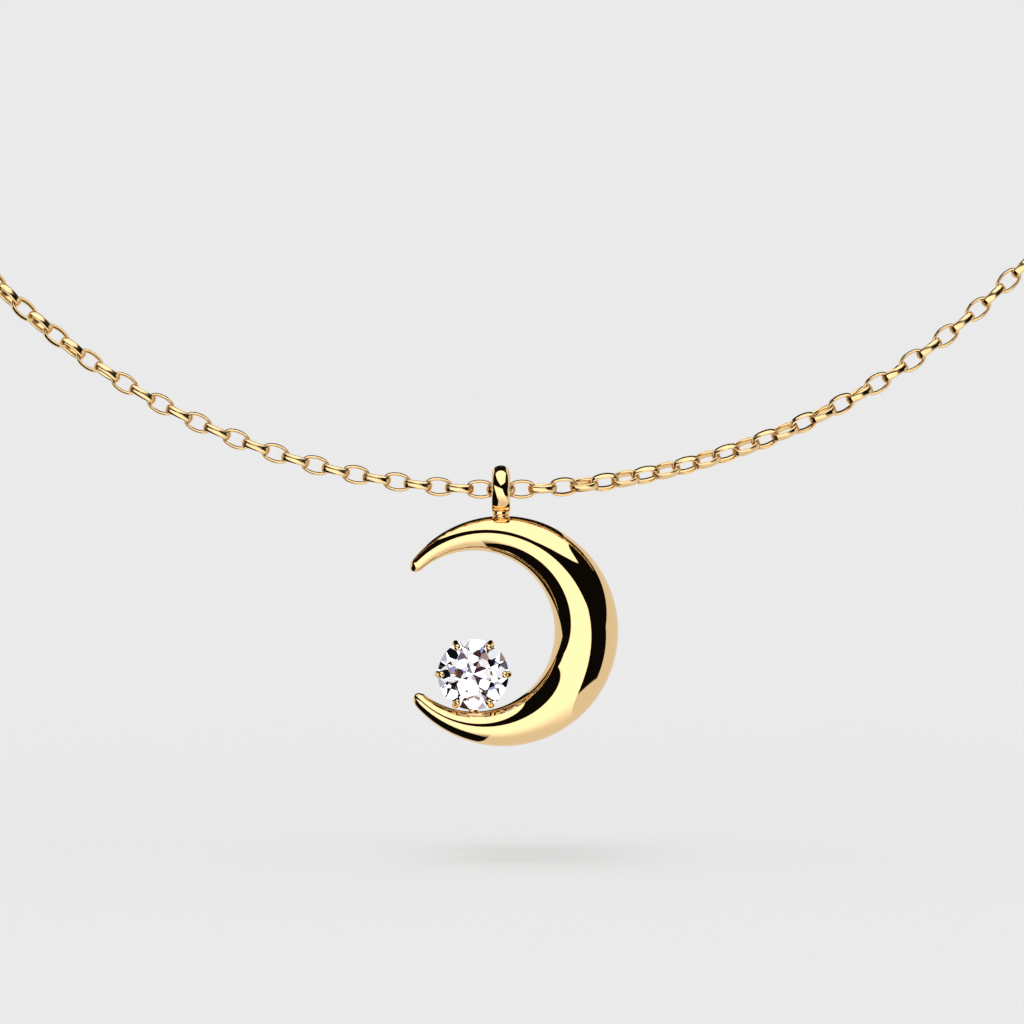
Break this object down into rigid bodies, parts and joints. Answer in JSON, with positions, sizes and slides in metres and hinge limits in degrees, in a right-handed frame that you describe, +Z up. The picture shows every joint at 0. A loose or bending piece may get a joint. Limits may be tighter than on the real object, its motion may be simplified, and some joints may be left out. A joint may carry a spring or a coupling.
{
  "type": "pendant necklace",
  "caption": "Pendant necklace: fine oval cable chain closed by a lobster clasp, carrying an open crescent pendant on a ring bail with a round brilliant in a prong setting.",
  "frame": {"origin": "middle of the wearer's neck, inside the closed loop", "axes": "+Z up the neck; the pendant hangs at the front, towards -Y, and the clasp is at the nape, towards +Y; +X is to the right seen from the front"},
  "size_m": [0.1346, 0.1087, 0.1135],
  "materials": {
    "chain_gold": "polished gold plating on brass",
    "pendant_gold": "mirror-polished gold plating on brass",
    "setting_gold": "polished gold plating on brass",
    "findings_gold": "polished gold plating on brass",
    "spring_steel": "spring steel",
    "stone": "clear cut stone"
  },
  "bodies": {
    "neck_chain": {"chain_left_back_1": "chain_gold", "chain_left_back_10": "chain_gold", "chain_left_back_11": "chain_gold", "chain_left_back_2": "chain_gold", "chain_left_back_3": "chain_gold", "chain_left_back_4": "chain_gold", "chain_left_back_5": "chain_gold", "chain_left_back_6": "chain_gold", "chain_left_back_7": "chain_gold", "chain_left_back_8": "chain_gold", "chain_left_back_9": "chain_gold", "chain_right_back_1": "chain_gold", "chain_right_back_10": "chain_gold", "chain_right_back_11": "chain_gold", "chain_right_back_2": "chain_gold", "chain_right_back_3": "chain_gold", "chain_right_back_4": "chain_gold", "chain_right_back_5": "chain_gold", "chain_right_back_6": "chain_gold", "chain_right_back_7": "chain_gold", "chain_right_back_8": "chain_gold", "chain_right_back_9": "chain_gold", "end_ring": "findings_gold", "jump_ring": "findings_gold"},
    "high_chain": {"chain_left_high_1": "chain_gold", "chain_left_high_2": "chain_gold", "chain_left_high_3": "chain_gold", "chain_right_high_1": "chain_gold", "chain_right_high_2": "chain_gold", "chain_right_high_3": "chain_gold"},
    "mid_chain": {"chain_left_mid_1": "chain_gold", "chain_left_mid_2": "chain_gold", "chain_left_mid_3": "chain_gold", "chain_right_mid_1": "chain_gold", "chain_right_mid_2": "chain_gold", "chain_right_mid_3": "chain_gold"},
    "low_chain": {"chain_left_low_1": "chain_gold", "chain_left_low_2": "chain_gold", "chain_left_low_3": "chain_gold", "chain_right_low_1": "chain_gold", "chain_right_low_2": "chain_gold", "chain_right_low_3": "chain_gold", "chain_middle_link": "chain_gold"},
    "pendant": {"crescent": "pendant_gold", "bail": "pendant_gold", "bail_collar": "pendant_gold", "stone": "stone", "upper_gallery": "setting_gold", "lower_gallery": "setting_gold", "seat_peg": "setting_gold", "prong_1": "setting_gold", "prong_2": "setting_gold", "prong_3": "setting_gold", "prong_4": "setting_gold", "prong_5": "setting_gold", "prong_6": "setting_gold"},
    "clasp": {"clasp_body": "findings_gold", "clasp_pin": "findings_gold", "clasp_spring": "spring_steel"},
    "clasp_lever": {"clasp_lever": "findings_gold"}
  },
  "joints": [
    {"name": "high_swing", "type": "hinge", "parent": "neck_chain", "child": "high_chain", "pos_m": [0, -0.05381, -0.03023], "axis": [1, 0, 0], "range_deg": [-12, 12]},
    {"name": "mid_swing", "type": "hinge", "parent": "high_chain", "child": "mid_chain", "pos_m": [0, -0.054, -0.04361], "axis": [1, 0, 0], "range_deg": [-12, 12]},
    {"name": "low_swing", "type": "hinge", "parent": "mid_chain", "child": "low_chain", "pos_m": [0, -0.054, -0.05094], "axis": [1, 0, 0], "range_deg": [-12, 12]},
    {"name": "pendant_swing", "type": "hinge", "parent": "low_chain", "child": "pendant", "pos_m": [0, -0.054, -0.05247], "axis": [1, 0, 0], "continuous": true},
    {"name": "clasp_roll", "type": "hinge", "parent": "neck_chain", "child": "clasp", "pos_m": [0.0006, 0.051, 0.038], "axis": [1, 0, 0], "range_deg": [-10, 10]},
    {"name": "lever_press", "type": "hinge", "parent": "clasp", "child": "clasp_lever", "pos_m": [-0.0009, 0.051, 0.03628], "axis": [0, -1, 0], "range_deg": [0, 30], "stiffness_Nm_per_rad": 0.0001, "springref_deg": -17.19}
  ]
}
